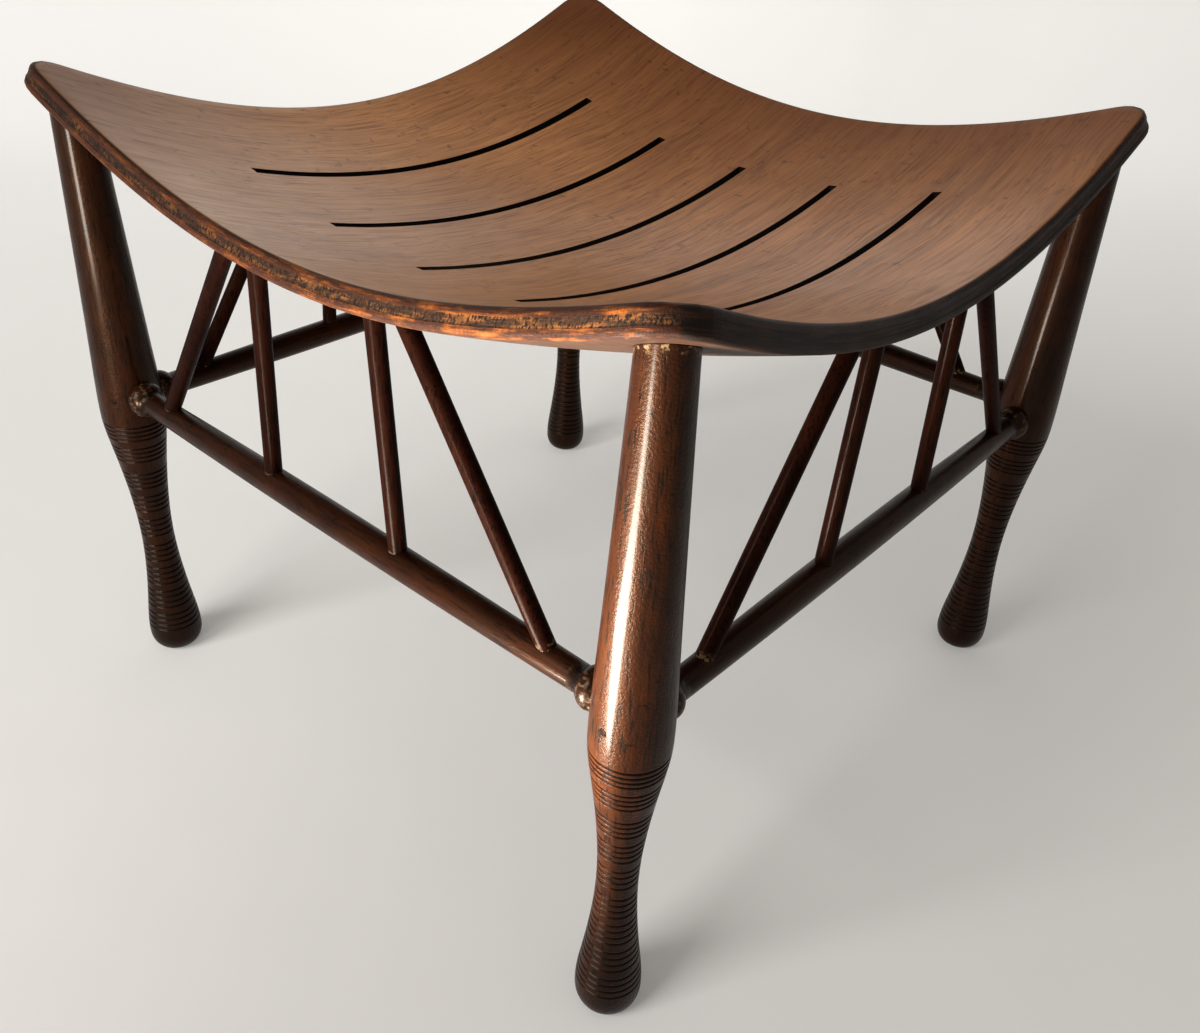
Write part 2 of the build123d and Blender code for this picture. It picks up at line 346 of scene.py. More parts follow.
def minus(tree, first, second):
    """The first number less the second."""
    return reckon(tree, "SUBTRACT", first, second)


def join_axes(tree, x, y, z):
    """A vector from three numbers."""
    return add_nodes(tree, "ShaderNodeCombineXYZ", {0: x, 1: y, 2: z}).outputs[0]


def split_axes(tree, vector):
    """The three numbers of a vector, under X, Y and Z."""
    return add_nodes(tree, "ShaderNodeSeparateXYZ", {0: vector}).outputs


# The press: it lays a flat ply on the dish, square to the surface all over.
press_sizes = {
    "Half Width": seat_half[0] * mm,
    "Half Depth": seat_half[1] * mm,
    "Low Height": seat_low * mm,
    "Side Rise": side_rise * mm,
    "End Rise": end_rise * mm,
    "Corner Lift": corner_lift * mm,
    "Corner Ease": corner_ease * mm,
}
press, given = shaping_tree("seat_press", press_sizes)
at = split_axes(press, press.nodes.new("GeometryNodeInputPosition").outputs[0])
u = reckon(press, "DIVIDE", at["X"], given["Half Width"])
v = reckon(press, "DIVIDE", at["Y"], given["Half Depth"])
uv = times(press, u, v)
uv_squared = times(press, uv, uv)
rise_x = times(press, u, u, given["Side Rise"])
rise_y = times(press, v, v, given["End Rise"])
lift = times(press, uv_squared, given["Corner Lift"])
ease = times(press, times(press, uv_squared, uv_squared), given["Corner Ease"])
bowl = plus(press, given["Low Height"], plus(press, rise_x, rise_y))
height = minus(press, plus(press, bowl, lift), ease)
twist_lift = times(press, uv, 2.0, given["Corner Lift"])
twist_ease = times(press, times(press, uv_squared, times(press, uv, 4.0)), given["Corner Ease"])
twist = minus(press, twist_lift, twist_ease)
climb_x = plus(press, times(press, u, 2.0, given["Side Rise"]), times(press, twist, v))
climb_y = plus(press, times(press, v, 2.0, given["End Rise"]), times(press, twist, u))
slope_x = reckon(press, "DIVIDE", climb_x, given["Half Width"])
slope_y = reckon(press, "DIVIDE", climb_y, given["Half Depth"])
leaning = join_axes(press, times(press, slope_x, -1.0), times(press, slope_y, -1.0), 1.0)
square = add_nodes(press, "ShaderNodeVectorMath", {0: leaning}, operation="NORMALIZE")
depth = move(press, "SCALE", square.outputs[0], at["Z"])
on_dish = join_axes(press, at["X"], at["Y"], height)
pressed = move(press, "ADD", on_dish, depth.outputs[0])
laid_sockets = {"Geometry": given["Geometry"], "Position": pressed.outputs[0]}
laid = add_nodes(press, "GeometryNodeSetPosition", laid_sockets)
end_shaping(press, laid.outputs[0], given["Material"])


def make_piece(name, blank, tree, inputs):
    """Run a blank through its tree and keep the plain mesh that comes out."""
    rough = bpy.data.objects.new(name + "_blank", blank)
    bpy.context.scene.collection.objects.link(rough)
    modifier = rough.modifiers.new("shape", "NODES")
    modifier.node_group = tree
    for item in tree.interface.items_tree:
        if item.item_type == "SOCKET" and item.in_out == "INPUT" and item.name in inputs:
            modifier[item.identifier] = inputs[item.name]
    bpy.context.view_layer.update()
    shaped = rough.evaluated_get(bpy.context.evaluated_depsgraph_get())
    mesh = bpy.data.meshes.new_from_object(shaped)
    rough.modifiers.clear()
    bpy.data.objects.remove(rough)
    mesh.name = name
    piece = bpy.data.objects.new(name, mesh)
    bpy.context.scene.collection.objects.link(piece)
    return piece


def new_group(name, inputs, outputs):
    """A shader group with a vector input, named numbers, and numbers coming out."""
    group = bpy.data.node_groups.new(name, "ShaderNodeTree")
    group.interface.new_socket("Vector", in_out="INPUT", socket_type="NodeSocketVector")
    for label, value in inputs.items():
        entry = group.interface.new_socket(label, in_out="INPUT", socket_type="NodeSocketFloat")
        entry.default_value = value
    for label in outputs:
        group.interface.new_socket(label, in_out="OUTPUT", socket_type="NodeSocketFloat")
    given = group.nodes.new("NodeGroupInput").outputs
    return group, given, group.nodes.new("NodeGroupOutput").inputs


def give_out(tree, result, values):
    """Link a group's values to its named outputs."""
    for label, value in values.items():
        tree.links.new(value, result[label])


def place_group(tree, group, inputs):
    """Put a shader group in a material with its own values."""
    return add_nodes(tree, "ShaderNodeGroup", inputs, node_tree=group).outputs


def blend(tree, share, first, second):
    """Two colours blended by a share."""
    sockets = {0: share, 6: first, 7: second}
    return add_nodes(tree, "ShaderNodeMix", sockets, data_type="RGBA").outputs[2]


def noise(tree, vector, scale, detail, rough, twist=0.0):
    """A noise value over a vector."""
    sockets = {
        "Vector": vector, "Scale": scale, "Detail": detail, "Roughness": rough, "Distortion": twist
    }
    return add_nodes(tree, "ShaderNodeTexNoise", sockets).outputs["Fac"]


def own_value(tree, name):
    """A value kept on the piece's own mesh."""
    return add_nodes(tree, "ShaderNodeAttribute", attribute_name=name).outputs["Fac"]


# Wood grain: the wood's own figure, running along Y of the vector it is given.
# Tone is the slow figure, Fine its thin streaks, Pores the short dark lines.
grain, given, result = new_group(
    "wood_grain",
    {"Figure Scale": 30.0, "Pore Scale": 500.0, "Stretch": 14.0, "Waver": 0.5},
    ("Tone", "Fine", "Pores", "Height"),
)
waver_sockets = {"Vector": given["Vector"], "Scale": 9.0, "Detail": 2.0}
waver = add_nodes(grain, "ShaderNodeTexNoise", waver_sockets)
centred = move(grain, "SUBTRACT", waver.outputs["Color"], (0.5, 0.5, 0.5))
sway = move(grain, "SCALE", centred.outputs[0], times(grain, given["Waver"], 0.02))
swayed = move(grain, "ADD", given["Vector"], sway.outputs[0])
drawn_out = join_axes(grain, 1.0, reckon(grain, "DIVIDE", 1.0, given["Stretch"]), 1.0)
stretched = move(grain, "MULTIPLY", swayed.outputs[0], drawn_out).outputs[0]
fine_scale = times(grain, given["Pore Scale"], 0.4)
tone = noise(grain, stretched, given["Figure Scale"], detail=5.0, rough=0.6, twist=0.6)
fine = noise(grain, stretched, fine_scale, detail=3.0, rough=0.7)
pores = noise(grain, stretched, given["Pore Scale"], detail=2.0, rough=0.5)
pores = spread(grain, pores, 0.53, 0.64)
grain_values = {
    "Tone": spread(grain, tone, 0.3, 0.7),
    "Fine": spread(grain, fine, 0.3, 0.7),
    "Pores": pores,
    "Height": minus(grain, times(grain, fine, 0.4), pores),
}
give_out(grain, result, grain_values)

# Old polish: where it is built up dark, rubbed thin, spotted or clouded by
# handling, and the pebbled skin that it dried to.
polish, given, result = new_group(
    "old_polish",
    {"Cloud Scale": 12.0, "Spot Scale": 140.0, "Gloss": 0.25, "Dullness": 0.2},
    ("Clouds", "Spots", "Roughness", "Peel"),
)
peel_scale = 750.0
smear_scale = times(polish, given["Cloud Scale"], 4.0)
clouds = noise(polish, given["Vector"], given["Cloud Scale"], detail=4.0, rough=0.6)
clouds = spread(polish, clouds, 0.35, 0.65)
specks = noise(polish, given["Vector"], given["Spot Scale"], detail=2.0, rough=0.5)
smears = noise(polish, given["Vector"], smear_scale, detail=3.0, rough=0.6)
dulled = times(polish, plus(polish, clouds, smears), given["Dullness"], 0.5)
polish_values = {
    "Clouds": clouds,
    "Spots": spread(polish, specks, 0.66, 0.72),
    "Roughness": plus(polish, given["Gloss"], dulled),
    "Peel": noise(polish, given["Vector"], peel_scale, detail=2.0, rough=0.6),
}
give_out(polish, result, polish_values)

# Cut ply edge: short upright ticks of end grain, long thin lines of side grain
# and dark patches. Depth is measured down through the board. Facing Ends is 1
# where the edge looks along Y, across the ends of the face grain.
cut_edge, given, result = new_group(
    "cut_ply_edge", {"Depth": 0.0}, ("Ticks", "Lines", "Patches", "Facing Ends")
)
along = split_axes(cut_edge, given["Vector"])
down = times(cut_edge, given["Depth"], mm)
unrolled = join_axes(cut_edge, along["X"], along["Y"], down)


def edge_mark(stretch, low, high, **marks):
    """One kind of mark along the cut edge, as a mask between a low and a high noise."""
    drawn = move(cut_edge, "MULTIPLY", unrolled, stretch).outputs[0]
    return spread(cut_edge, noise(cut_edge, drawn, **marks), low, high)


normal = add_nodes(cut_edge, "ShaderNodeNewGeometry").outputs["Normal"]
normal = split_axes(cut_edge, normal)
lean_x, lean_y = (reckon(cut_edge, "ABSOLUTE", normal[axis]) for axis in "XY")
edge_values = {
    "Ticks": edge_mark(
        (1.0, 1.0, 0.22), 0.47, 0.57, scale=1000.0, detail=2.0, rough=0.6, twist=0.4
    ),
    "Lines": edge_mark((0.05, 0.05, 1.0), 0.48, 0.62, scale=900.0, detail=3.0, rough=0.65),
    "Patches": edge_mark((0.5, 0.5, 3.0), 0.36, 0.53, scale=110.0, detail=4.0, rough=0.65),
    "Facing Ends": spread(cut_edge, minus(cut_edge, lean_y, lean_x), -0.15, 0.25),
}
give_out(cut_edge, result, edge_values)

# Painted shade: the walls inside the narrow slots are coloured near black.
painted_slot_shade = (0.006, 0.003, 0.002, 1.0)
split_place = -0.1535


def board_wood(name, face, edge, pore_depth, gloss, sheen, ticked=False):
    """Open-grained veneer under a thin old polish, with the edge it shows when cut."""
    deep, middle, light = face
    worn, stained, black = edge
    material, tree, spot, output = new_material(name)
    place = split_axes(tree, spot)
    depth = own_value(tree, "ply_depth")

    # Painted shade darkens the board towards the back and the back left, away from the window,
    # and the corners are darker too; painted light makes it paler towards the front left.
    outwards = reckon(tree, "ABSOLUTE", times(tree, place["X"], place["Y"]))
    painted_far_shade = spread(tree, place["Y"], 0.07, 0.21, 0.0, 0.8)
    backwards = minus(tree, place["Y"], place["X"])
    painted_back_shade = spread(tree, backwards, 0.20, 0.38, 0.0, 0.95)
    dark_corners_and_painted_shade = spread(tree, outwards, 0.014, 0.042, 0.0, 0.6)
    for other in (painted_far_shade, painted_back_shade):
        dark_corners_and_painted_shade = reckon(tree, "MAXIMUM", dark_corners_and_painted_shade, other)
    painted_window_light = spread(tree, plus(tree, place["X"], place["Y"]), 0.05, -0.30, 0.0, 0.5)

    # The face: grain laid flat on the ply, with painted light and painted shade laid over it,
    # then polish, pores, spots and a short split.
    flat_spot = join_axes(tree, place["X"], place["Y"], times(tree, depth, 0.05))
    grain_scales = {"Figure Scale": 70.0, "Pore Scale": 1000.0, "Stretch": 45.0, "Waver": 1.0}
    figure = place_group(tree, grain, {"Vector": flat_spot, **grain_scales})
    film_sockets = {"Vector": spot, "Cloud Scale": 7.0, "Gloss": gloss, "Dullness": 0.25}
    film = place_group(tree, polish, film_sockets)
    grain_and_painted_light = plus(tree, times(tree, figure["Fine"], 0.65), painted_window_light)
    look = blend(tree, figure["Tone"], deep, middle)
    # Painted light: the grain's paler streaks grow paler still towards the front left.
    look = blend(tree, reckon(tree, "MINIMUM", grain_and_painted_light, 1.0), look, light)
    look = blend(tree, times(tree, film["Clouds"], 0.25), look, deep)
    # Painted shade: darker towards the back, the back left and the corners.
    look = blend(tree, dark_corners_and_painted_shade, look, deep)
    look = blend(tree, times(tree, figure["Pores"], pore_depth), look, stained)
    look = blend(tree, times(tree, film["Spots"], 0.4), look, black)
    beside_split = reckon(tree, "ABSOLUTE", minus(tree, place["X"], split_place))
    split_width = spread(tree, beside_split, 0.0007, 0.0002)
    split_length = spread(tree, place["Y"], -0.198, -0.208)
    look = blend(tree, times(tree, split_width, split_length), look, black)

    # The edge: paler towards the near leg, where it is both worn and painted lighter, and black
    # along the sides.
    cut = place_group(tree, cut_edge, {"Vector": spot, "Depth": depth})
    # Painted light with wear: the edge colour goes from stained to paler towards the near leg.
    rubbed_and_painted_light = blend(tree, spread(tree, place["X"], -0.22, 0.17, 0.9, 0.1), worn, stained)
    if ticked:
        end_grain = blend(tree, cut["Ticks"], rubbed_and_painted_light, black)
        end_grain = blend(tree, times(tree, cut["Patches"], 0.85), end_grain, black)
    else:
        streaks = blend(tree, cut["Patches"], rubbed_and_painted_light, stained)
        end_grain = blend(tree, times(tree, cut["Lines"], 0.75), streaks, stained)
        end_grain = blend(tree, times(tree, cut["Ticks"], 0.3), end_grain, black)
    side_grain = blend(tree, times(tree, cut["Lines"], 0.7), black, stained)
    edge_look = blend(tree, cut["Facing Ends"], side_grain, end_grain)
    rim = spread(tree, own_value(tree, "rim_gap"), 2.6, 1.3)
    slot = own_value(tree, "slot_wall")
    # Painted shade colours the slot walls near black.
    colour = blend(tree, slot, blend(tree, rim, look, edge_look), painted_slot_shade)

    # Relief, and the film of polish that is left on the faces and the rim.
    grooved = times(tree, rim, plus(tree, cut["Ticks"], cut["Lines"]))
    surface = minus(tree, figure["Height"], times(tree, grooved, 1.4))
    relief_sockets = {"Height": surface, "Strength": 0.4, "Distance": 0.0003}
    relief = add_nodes(tree, "ShaderNodeBump", relief_sockets)
    unbroken = minus(tree, 1.0, times(tree, figure["Pores"], 0.3))
    # The polish film is fuller under the painted light and thinner under the painted shade.
    film_fuller_in_painted_light = spread(tree, painted_window_light, 0.0, 0.5, 0.72, 1.0)
    film_thinner_in_painted_shade = spread(tree, dark_corners_and_painted_shade, 0.0, 0.9, sheen, sheen * 0.35)
    face_film = times(tree, unbroken, film_fuller_in_painted_light, film_thinner_in_painted_shade, minus(tree, 1.0, rim))
    film_left = plus(tree, face_film, times(tree, rim, 0.03))
    wood_look = {
        "Base Color": colour,
        "Roughness": plus(tree, film["Roughness"], times(tree, slot, 0.5)),
        "Normal": relief.outputs["Normal"],
        "Coat Weight": times(tree, film_left, minus(tree, 1.0, slot)),
        "Coat Roughness": 0.28,
        "Specular IOR Level": 0.1,
    }
    finish_material(tree, output, wood_look)
    return material


black_edge = (0.006, 0.0025, 0.0015, 1)
veneer_edge = ((0.26, 0.072, 0.009, 1), (0.032, 0.009, 0.003, 1), black_edge)
core_edge = ((0.19, 0.070, 0.015, 1), (0.04, 0.014, 0.005, 1), black_edge)
top_face = ((0.110, 0.030, 0.006, 1), (0.33, 0.112, 0.025, 1), (0.56, 0.240, 0.068, 1))
core_face = ((0.025, 0.009, 0.004, 1), (0.06, 0.022, 0.01, 1), (0.10, 0.04, 0.018, 1))
under_face = ((0.025, 0.011, 0.006, 1), (0.055, 0.026, 0.015, 1), (0.085, 0.048, 0.030, 1))
top_wood = board_wood(
    "top_veneer", top_face, veneer_edge, pore_depth=0.3, gloss=0.36, sheen=0.8
)
core_wood = board_wood(
    "core_wood", core_face, core_edge, pore_depth=0.8, gloss=0.45, sheen=0.15, ticked=True
)
under_wood = board_wood(
    "under_veneer", under_face, veneer_edge, pore_depth=0.6, gloss=0.45, sheen=0.1
)
for name, slot, wood, layer, round_top, round_bottom, inset in (
    ("seat_top_veneer", "seat_face", top_wood, 0, True, False, 0.0),
    ("seat_core", "seat_core", core_wood, 1, False, False, core_inset),
    ("seat_under_veneer", "seat_under", under_wood, 2, False, True, 0.0),
):
    top, bottom = layer * ply, (layer + 1) * ply
    blank = ply_blank(name + "_blank", top, bottom, round_top, round_bottom, inset)
    board = make_piece(name + "_board", blank, press, dict(press_sizes, Material=wood))
    board.data.shade_smooth()
    board.data.set_sharp_from_angle(angle=sharp_angle)
    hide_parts(name)
    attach(board, "root")

# Legs
# Turned wood, polished dark over stain: a long taper, a belly, then nine sets
# of four cut rings down to a plain rounded foot.
leg_offset = 198.5
leg_stations = (
    (12.0, 16.7, 0.0),
    (42.7, 13.5, -0.125),
    (91.0, 9.95, 0.0),
    (153.5, 15.4, 0.15),
    (181.0, 18.4, 0.0),
    (225.0, 16.8, -0.044),
    (372.02, 10.9, -0.037),
)
leg_end = 378.0
last_radius_at = 372.0
leg_head = 344.0
head_step = 0.5
head_steps = 48
shaft_step = 4.0
ring_tops = (176.2, 160.9, 141.2, 123.6, 105.1, 85.3, 67.6, 49.6, 31.8)
ring_pitches = (3.0, 3.25, 3.5, 3.75, 4.0, 4.0, 4.0, 4.0, 4.0)
ring_width = 1.5
ring_depth = 0.8
ring_clear = 3
wide_land = 4.5
land_edge = 1.2
foot_height = 12.0
foot_radius = 16.7
foot_flat = 9.5
scribed_above = 340
glue_gap = 0.05
crust_reach = 6


def leg_radius(z):
    """Radius of a leg at a height, without its rings."""
    for (z0, r0, slope0), (z1, r1, slope1) in zip(leg_stations, leg_stations[1:]):
        if z <= z1:
            break
    span = z1 - z0
    t = (z - z0) / span
    start = r0 * (2 * t**3 - 3 * t**2 + 1) + slope0 * span * (t**3 - 2 * t**2 + t)
    return start + r1 * (3 * t**2 - 2 * t**3) + slope1 * span * (t**3 - t**2)


# The lathe: it turns a solid round piece about each line of its blank, from the
# radius kept at every point.
lathe, given = shaping_tree("lathe", {"Facets": 48, "Girth": 1.0})
centre = add_nodes(lathe, "GeometryNodeMeshToCurve", {"Mesh": given["Geometry"]})
ring_sockets = {"Resolution": given["Facets"], "Radius": given["Girth"]}
ring = add_nodes(lathe, "GeometryNodeCurvePrimitiveCircle", ring_sockets)
turned = add_nodes(
    lathe, "GeometryNodeInputNamedAttribute", {"Name": "turned_radius"}, data_type="FLOAT"
)
solid_sockets = {
    0: centre.outputs[0], 1: ring.outputs["Curve"], "Scale": turned.outputs[0], "Fill Caps": True
}
solid = add_nodes(lathe, "GeometryNodeCurveToMesh", solid_sockets)
smooth = add_nodes(lathe, "GeometryNodeSetShadeSmooth", {"Geometry": solid.outputs[0]})
end_shaping(lathe, smooth.outputs[0], given["Material"])


def turn_piece(name, lines, facets, material):
    """Turn round lines: each point in millimetres, its radius, cut and joint."""
    points, edges, radii, cuts, joints = [], [], [], [], []
    for line in lines:
        start = len(points)
        for point, radius, cut, joint in line:
            points.append(Vector(point) * mm)
            radii.append(radius * mm)
            cuts.append(cut)
            joints.append(joint)
        edges += [(n, n + 1) for n in range(start, len(points) - 1)]
    blank = bpy.data.meshes.new(name + "_lines")
    blank.from_pydata(points, edges, [])
    for label, values in (("turned_radius", radii), ("cut", cuts), ("joint", joints)):
        blank.attributes.new(label, "FLOAT", "POINT").data.foreach_set("value", values)
    return make_piece(name, blank, lathe, {"Facets": facets, "Girth": 1.0, "Material": material})


def leg_profile():
    """Height, radius and depth of cut, up a leg."""
    beds = [top - pitch * n for top, pitch in zip(ring_tops, ring_pitches) for n in range(4)]
    above_rings = beds[0] + ring_clear
    shaft_steps = int((leg_head - above_rings) / shaft_step)
    heights = {foot_height}
    heights |= {above_rings + shaft_step * n for n in range(shaft_steps + 1)}
    heights |= {leg_head + head_step * n for n in range(head_steps)}
    for bed, below in zip(beds, beds[1:] + [foot_height]):
        shares = (-0.7, -0.5, -0.33, -0.16, 0.0, 0.16, 0.33, 0.5, 0.7)
        heights |= {bed + ring_width * share for share in shares}
        gap = bed - below
        if gap > wide_land:
            heights |= {bed - land_edge - (gap - 2 * land_edge) * n / 4 for n in range(1, 4)}
    foot = []
    for angle in range(0, 90, 9):
        turn = math.radians(angle)
        radius = foot_flat + (foot_radius - foot_flat) * math.sin(turn)
        foot.append((foot_height * (1 - math.cos(turn)), radius, 0.0))
    profile = []
    for z in sorted(heights):
        nearest = min(abs(z - bed) for bed in beds)
        cut = max(0.0, 1 - (nearest / (ring_width / 2)) ** 2)
        profile.append((z, leg_radius(z) - ring_depth * cut, cut))
    return foot + profile + [(leg_end, leg_radius(last_radius_at), 0.0)]


crust_colour = (0.26, 0.17, 0.09, 1)
amber = (1.0, 0.48, 0.22, 1.0)


def turned_wood(name, colours, turns, gloss, peel, worn, sheen):
    """Stained and polished turned wood, its grain along the piece and its cuts dark."""
    deep, middle, light, black = colours
    material, tree, spot, output = new_material(name)
    along = add_nodes(tree, "ShaderNodeMapping", {"Vector": spot, "Rotation": turns}).outputs[0]
    grain_scales = {"Figure Scale": 80.0, "Pore Scale": 900.0, "Stretch": 12.0, "Waver": 0.4}
    figure = place_group(tree, grain, {"Vector": along, **grain_scales})
    film_scales = {"Cloud Scale": 38.0, "Spot Scale": 190.0, "Gloss": gloss, "Dullness": 0.2}
    film = place_group(tree, polish, {"Vector": spot, **film_scales})

    # Stain worn thin in places, painted light with wear on the side of a leg that faces the window,
    # then pores, spots, a darker foot and dark cuts.
    bared = reckon(tree, "POWER", minus(tree, 1.0, film["Clouds"]), 1.6)
    thinned_and_lit = times(tree, own_value(tree, "rubbed_and_painted_light"), plus(tree, 0.45, film["Clouds"]))
    wear_and_painted_light = reckon(tree, "MINIMUM", plus(tree, times(tree, bared, worn), thinned_and_lit), 1.0)
    look = blend(tree, figure["Tone"], deep, middle)
    look = blend(tree, wear_and_painted_light, look, light)
    look = blend(tree, times(tree, figure["Fine"], 0.10), look, light)
    look = blend(tree, times(tree, figure["Pores"], 0.8), look, black)
    look = blend(tree, times(tree, film["Spots"], 0.8), look, black)
    foot = split_axes(tree, spot)["Z"]
    look = blend(tree, spread(tree, foot, 0.15, 0.01, 0.0, 0.55), look, deep)
    look = blend(tree, spread(tree, own_value(tree, "cut"), 0.1, 0.8), look, black)

    # Old glue and polish crusted near a joint, and the dark line in it.
    joint = own_value(tree, "joint")
    crumbs = noise(tree, spot, 340.0, detail=3.0, rough=0.6)
    glued = times(tree, spread(tree, joint, 0.35, 0.8), spread(tree, crumbs, 0.52, 0.62), 0.6)
    look = blend(tree, glued, look, crust_colour)
    look = blend(tree, spread(tree, joint, 0.93, 0.99), look, black)
    surface = plus(tree, times(tree, figure["Height"], 0.35), times(tree, film["Peel"], peel))
    relief_sockets = {"Height": surface, "Strength": 0.5, "Distance": 0.0002}
    relief = add_nodes(tree, "ShaderNodeBump", relief_sockets)
    wood_look = {
        "Base Color": look,
        "Roughness": film["Roughness"],
        "Normal": relief.outputs["Normal"],
        "Coat Weight": sheen * 1.6,
        "Coat Roughness": 0.16,
        "Specular IOR Level": sheen,
        "Specular Tint": amber,
    }
    finish_material(tree, output, wood_look)
    return material


upright_grain = (math.radians(90), 0.0, 0.0)
black_stain = (0.0015, 0.001, 0.0008, 1)
leg_colours = (
    (0.002, 0.0008, 0.0005, 1), (0.008, 0.0018, 0.0006, 1), (0.11, 0.027, 0.003, 1), black_stain
)
leg_wood = turned_wood(
    "leg_wood", leg_colours, upright_grain, gloss=0.28, peel=2.8, worn=0.08, sheen=0.08
)
# Each leg's corner, and how much painted light with wear it gets on the side that faces the window.
legs = {
    "front_left": (-1, -1, 0.0),
    "front_right": (1, -1, 0.4),
    "back_right": (1, 1, 0.2),
    "back_left": (-1, 1, 0.0),
}
window_turn = math.radians(-108)
window_side = Vector((math.cos(window_turn), math.sin(window_turn)))
facing_from, facing_span = 0.55, 0.45
rubbed_and_lit_top, rubbed_and_lit_fade, least_rubbed_and_lit = 0.34, 0.16, 0.15
for corner, (side_x, side_y, rubbed_and_lit_share) in legs.items():
    line = [
        ((side_x * leg_offset, side_y * leg_offset, z), radius, cut, 0.0)
        for z, radius, cut in leg_profile()
    ]
    leg = turn_piece("turned_leg_" + corner, [line], facets=64, material=leg_wood)

    # Painted light with wear: paler on the side that faces the window, more so low down.
    rubbed_and_painted_light = []
    for vertex in leg.data.vertices:
        out_x = vertex.co.x - side_x * leg_offset * mm
        out = Vector((out_x, vertex.co.y - side_y * leg_offset * mm))
        facing_it = out.normalized().dot(window_side) if out.length > 0 else 0.0
        low_down = max(least_rubbed_and_lit, min(1.0, (rubbed_and_lit_top - vertex.co.z) / rubbed_and_lit_fade))
        turned_to_it = max(0.0, min(1.0, (facing_it - facing_from) / facing_span)) ** 1.5
        rubbed_and_painted_light.append(rubbed_and_lit_share * low_down * turned_to_it)
    leg.data.attributes.new("rubbed_and_painted_light", "FLOAT", "POINT").data.foreach_set("value", rubbed_and_painted_light)

    # Scribed to the board's underside, where the joint is crusted.
    joint = leg.data.attributes["joint"].data
    for vertex in leg.data.vertices:
        x, y, z = vertex.co / mm
        if z > scribed_above:
            limit = underside(x, y) - glue_gap
            joint[vertex.index].value = max(0.0, 1 - max(0.0, limit - z) / crust_reach)
            vertex.co.z = min(z, limit) * mm
    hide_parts("leg_" + corner)
    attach(leg, "root")

# Rails
# Four turned rails, a little fatter in the middle, with a bead that butts
# against each leg. The front and back ones sit 6 mm higher.
rail_heights = {"front": 194.2, "back": 194.2, "left": 188.2, "right": 188.2}
rail_end = 6.9
rail_middle = 8.3
rail_steps = 30
bead_length = 8.5
bead_radius = 10.5
bead_foot = 9.2
bead_sweep = 0.92
bead_flatness = 0.6
bead_fullness = 0.9
bead_steps = 10
bead_overlap = 7.0
crosswise_grain = (0.0, 0.0, math.radians(90))
lengthwise_grain = (0.0, 0.0, 0.0)


def lengthways(rail):
    """Which axis a rail runs along."""
    return 0 if rail in ("front", "back") else 1


def rail_point(rail, along, rise=0.0):
    """A point over a rail's axis."""
    side = leg_offset if rail in ("back", "right") else -leg_offset
    point = [side, side, rail_heights[rail] + rise]
    point[lengthways(rail)] = along
    return Vector(point)


def rail_swell(share):
    """Radius of a rail at a share of the way from its middle to its bead."""
    return rail_end + (rail_middle - rail_end) * (1 - share**2)


def rail_shaft(rail):
    """Half the length of a rail between its beads."""
    return leg_offset - leg_radius(rail_heights[rail]) - bead_length


def rail_line(rail):
    """Centre line and radii of one rail, bead to bead."""
    shaft = rail_shaft(rail)
    line = []
    for n in range(-rail_steps, rail_steps + 1):
        cut = 1.0 if abs(n) == rail_steps else 0.0
        joint = 0.4 if abs(n) > rail_steps - 2 else 0.0
        line.append((shaft * n / rail_steps, rail_swell(n / rail_steps), cut, joint))
    ends = []
    for n in range(1, bead_steps + 1):
        share = n / bead_steps
        bulge = math.sin(math.pi * min(1.0, share * bead_sweep)) ** bead_flatness
        low = rail_end + (bead_foot - rail_end) * share
        radius = low + (bead_radius - (rail_end + bead_foot) / 2) * bulge * bead_fullness
        ends.append((shaft + bead_length * share, radius, 0.0, 0.5))
    ends.append((shaft + bead_length + bead_overlap, bead_foot, 0.6, 0.9))
    starts = [(-place, radius, cut, joint) for place, radius, cut, joint in reversed(ends)]
    return [
        (rail_point(rail, place), radius, cut, joint)
        for place, radius, cut, joint in starts + line + ends
    ]


def scribe_to_leg(piece, axis):
    """Trim a rail's ends back to the surface of the legs."""
    for vertex in piece.data.vertices:
        place = vertex.co[axis] / mm
        aside = abs(vertex.co[1 - axis] / mm) - leg_offset
        radius = leg_radius(vertex.co.z / mm)
        reach = leg_offset - math.sqrt(max(0.0, radius**2 - aside**2)) - glue_gap
        if abs(place) > reach:
            vertex.co[axis] = math.copysign(reach, place) * mm


rail_colours = (
    (0.004, 0.0012, 0.0006, 1), (0.012, 0.003, 0.001, 1), (0.07, 0.018, 0.004, 1), black_stain
)
rail_woods = [
    turned_wood(name, rail_colours, turns, gloss=0.27, peel=1.2, worn=0.15, sheen=0.09)
    for name, turns in (
        ("rail_wood_across", crosswise_grain),
        ("rail_wood_along", lengthwise_grain),
    )
]
for rail in rail_heights:
    axis = lengthways(rail)
    wood = rail_woods[axis]
    piece = turn_piece("turned_rail_" + rail, [rail_line(rail)], facets=40, material=wood)
    scribe_to_leg(piece, axis)
    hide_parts("rail_" + rail)
    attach(piece, "root")

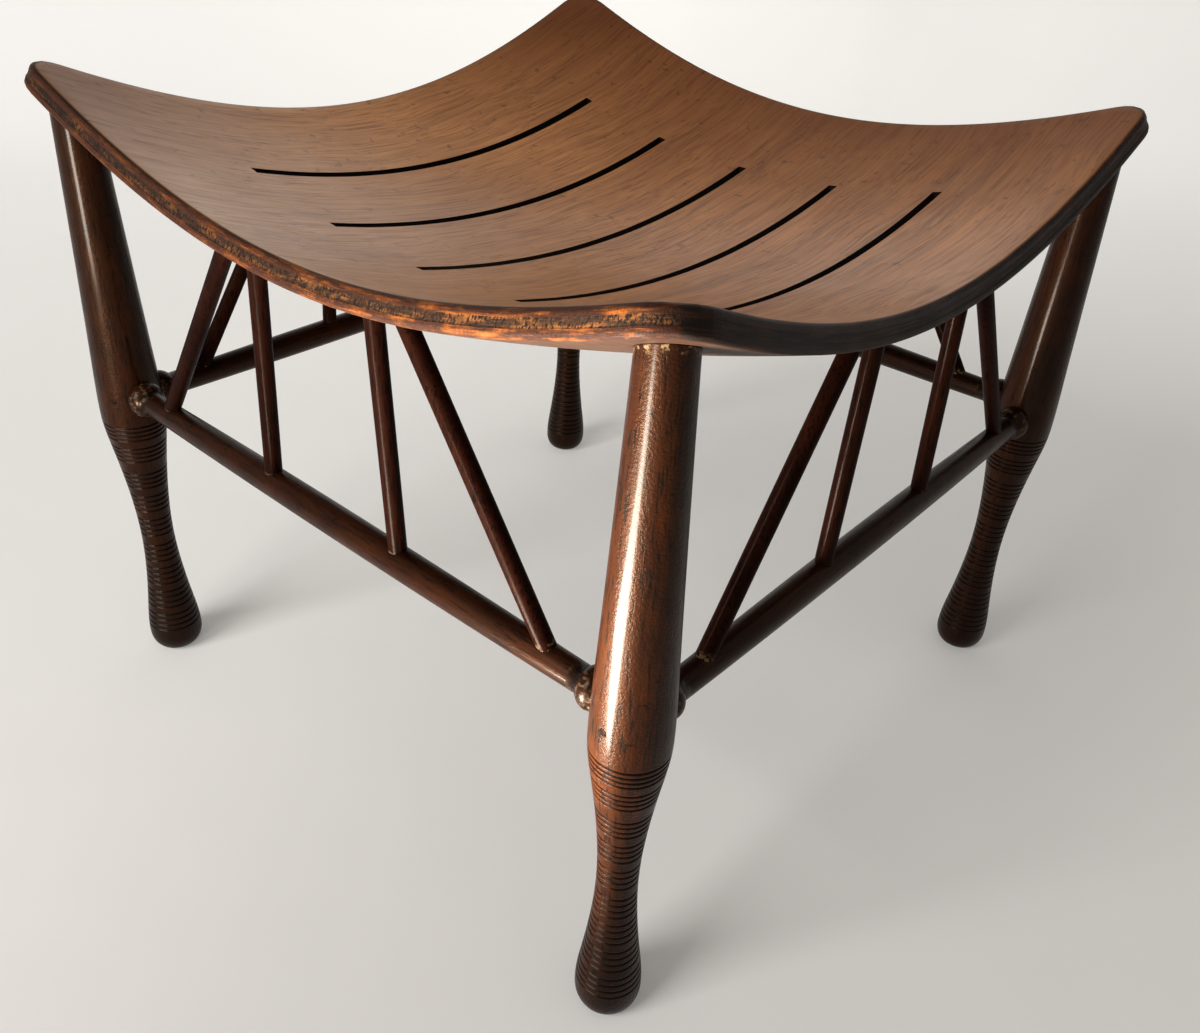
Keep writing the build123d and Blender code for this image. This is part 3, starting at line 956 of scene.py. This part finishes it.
# Spindles
# Plain dowels glued into the rails and the seat's underside: on each side an
# outer pair that leans in and an inner pair that is nearly upright.
spindle_radius = 4.6
spindle_feet = (-0.744, -0.2525, 0.2525, 0.744)
spindle_heads = (-0.324, -0.2155, 0.2155, 0.324)
spindle_steps = 48
sunk_foot = 4.0
raised_head = 5.0
spindle_colours = (
    (0.004, 0.0012, 0.0008, 1), (0.010, 0.0025, 0.0014, 1), (0.05, 0.012, 0.005, 1), black_stain
)
spindle_wood = turned_wood(
    "spindle_wood", spindle_colours, upright_grain, gloss=0.34, peel=1.2, worn=0.08, sheen=0.018
)
near_rail = [0.97, 0.6, 0.2] + [0.0] * (spindle_steps - 2)
for rail in rail_heights:
    lines = []
    for foot_share, head_share in zip(spindle_feet, spindle_heads):
        along = foot_share * leg_offset
        foot = rail_point(rail, along, rail_swell(along / rail_shaft(rail)))
        head = rail_point(rail, head_share * leg_offset)
        head.z = underside(head.x, head.y)
        way = (head - foot).normalized()
        start, end = foot - way * sunk_foot, head + way * raised_head
        line = [
            (start.lerp(end, n / spindle_steps), spindle_radius, 0.0, near_rail[n])
            for n in range(spindle_steps + 1)
        ]
        lines.append(line)
    piece = turn_piece("spindles_" + rail, lines, facets=28, material=spindle_wood)
    for vertex in piece.data.vertices:
        x, y, z = vertex.co / mm
        vertex.co.z = min(z, underside(x, y) - glue_gap) * mm
    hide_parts(*[f"spindle_{rail}_{n}" for n in (1, 2, 3, 4)])
    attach(piece, "root")

# Tenon pegs
# Small round pegs driven through each leg into the long rail's tenon and cut
# off nearly flush, so that only a dark dot of end grain shows.
peg_radius = 2.0
peg_turns = {-1: math.radians(33), 1: math.radians(3)}
peg_colours = (
    (0.004, 0.002, 0.0015, 1), (0.012, 0.006, 0.004, 1), (0.03, 0.014, 0.008, 1),
    (0.002, 0.001, 0.001, 1),
)
peg_wood = turned_wood(
    "peg_wood", peg_colours, lengthwise_grain, gloss=0.55, peel=1.0, worn=0.2, sheen=0.03
)
peg_profile = (
    (-3.0, 1.0, 0.0), (-0.2, 1.0, 0.5), (0.05, 0.94, 0.2), (0.12, 0.7, 0.0), (0.15, 0.02, 0.0)
)
peg_height = rail_heights["front"]
for corner, (side_x, side_y, _) in legs.items():
    turn = peg_turns[side_x]
    way = Vector((-side_x * math.sin(turn), side_y * math.cos(turn), 0))
    axis = Vector((side_x * leg_offset, side_y * leg_offset, peg_height))
    surface = leg_radius(peg_height)
    line = [
        (axis + way * (surface + out), peg_radius * share, cut, 0.0)
        for out, share, cut in peg_profile
    ]
    peg = turn_piece("peg_" + corner, [line], facets=24, material=peg_wood)
    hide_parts("tenon_peg_" + corner)
    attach(peg, "root")
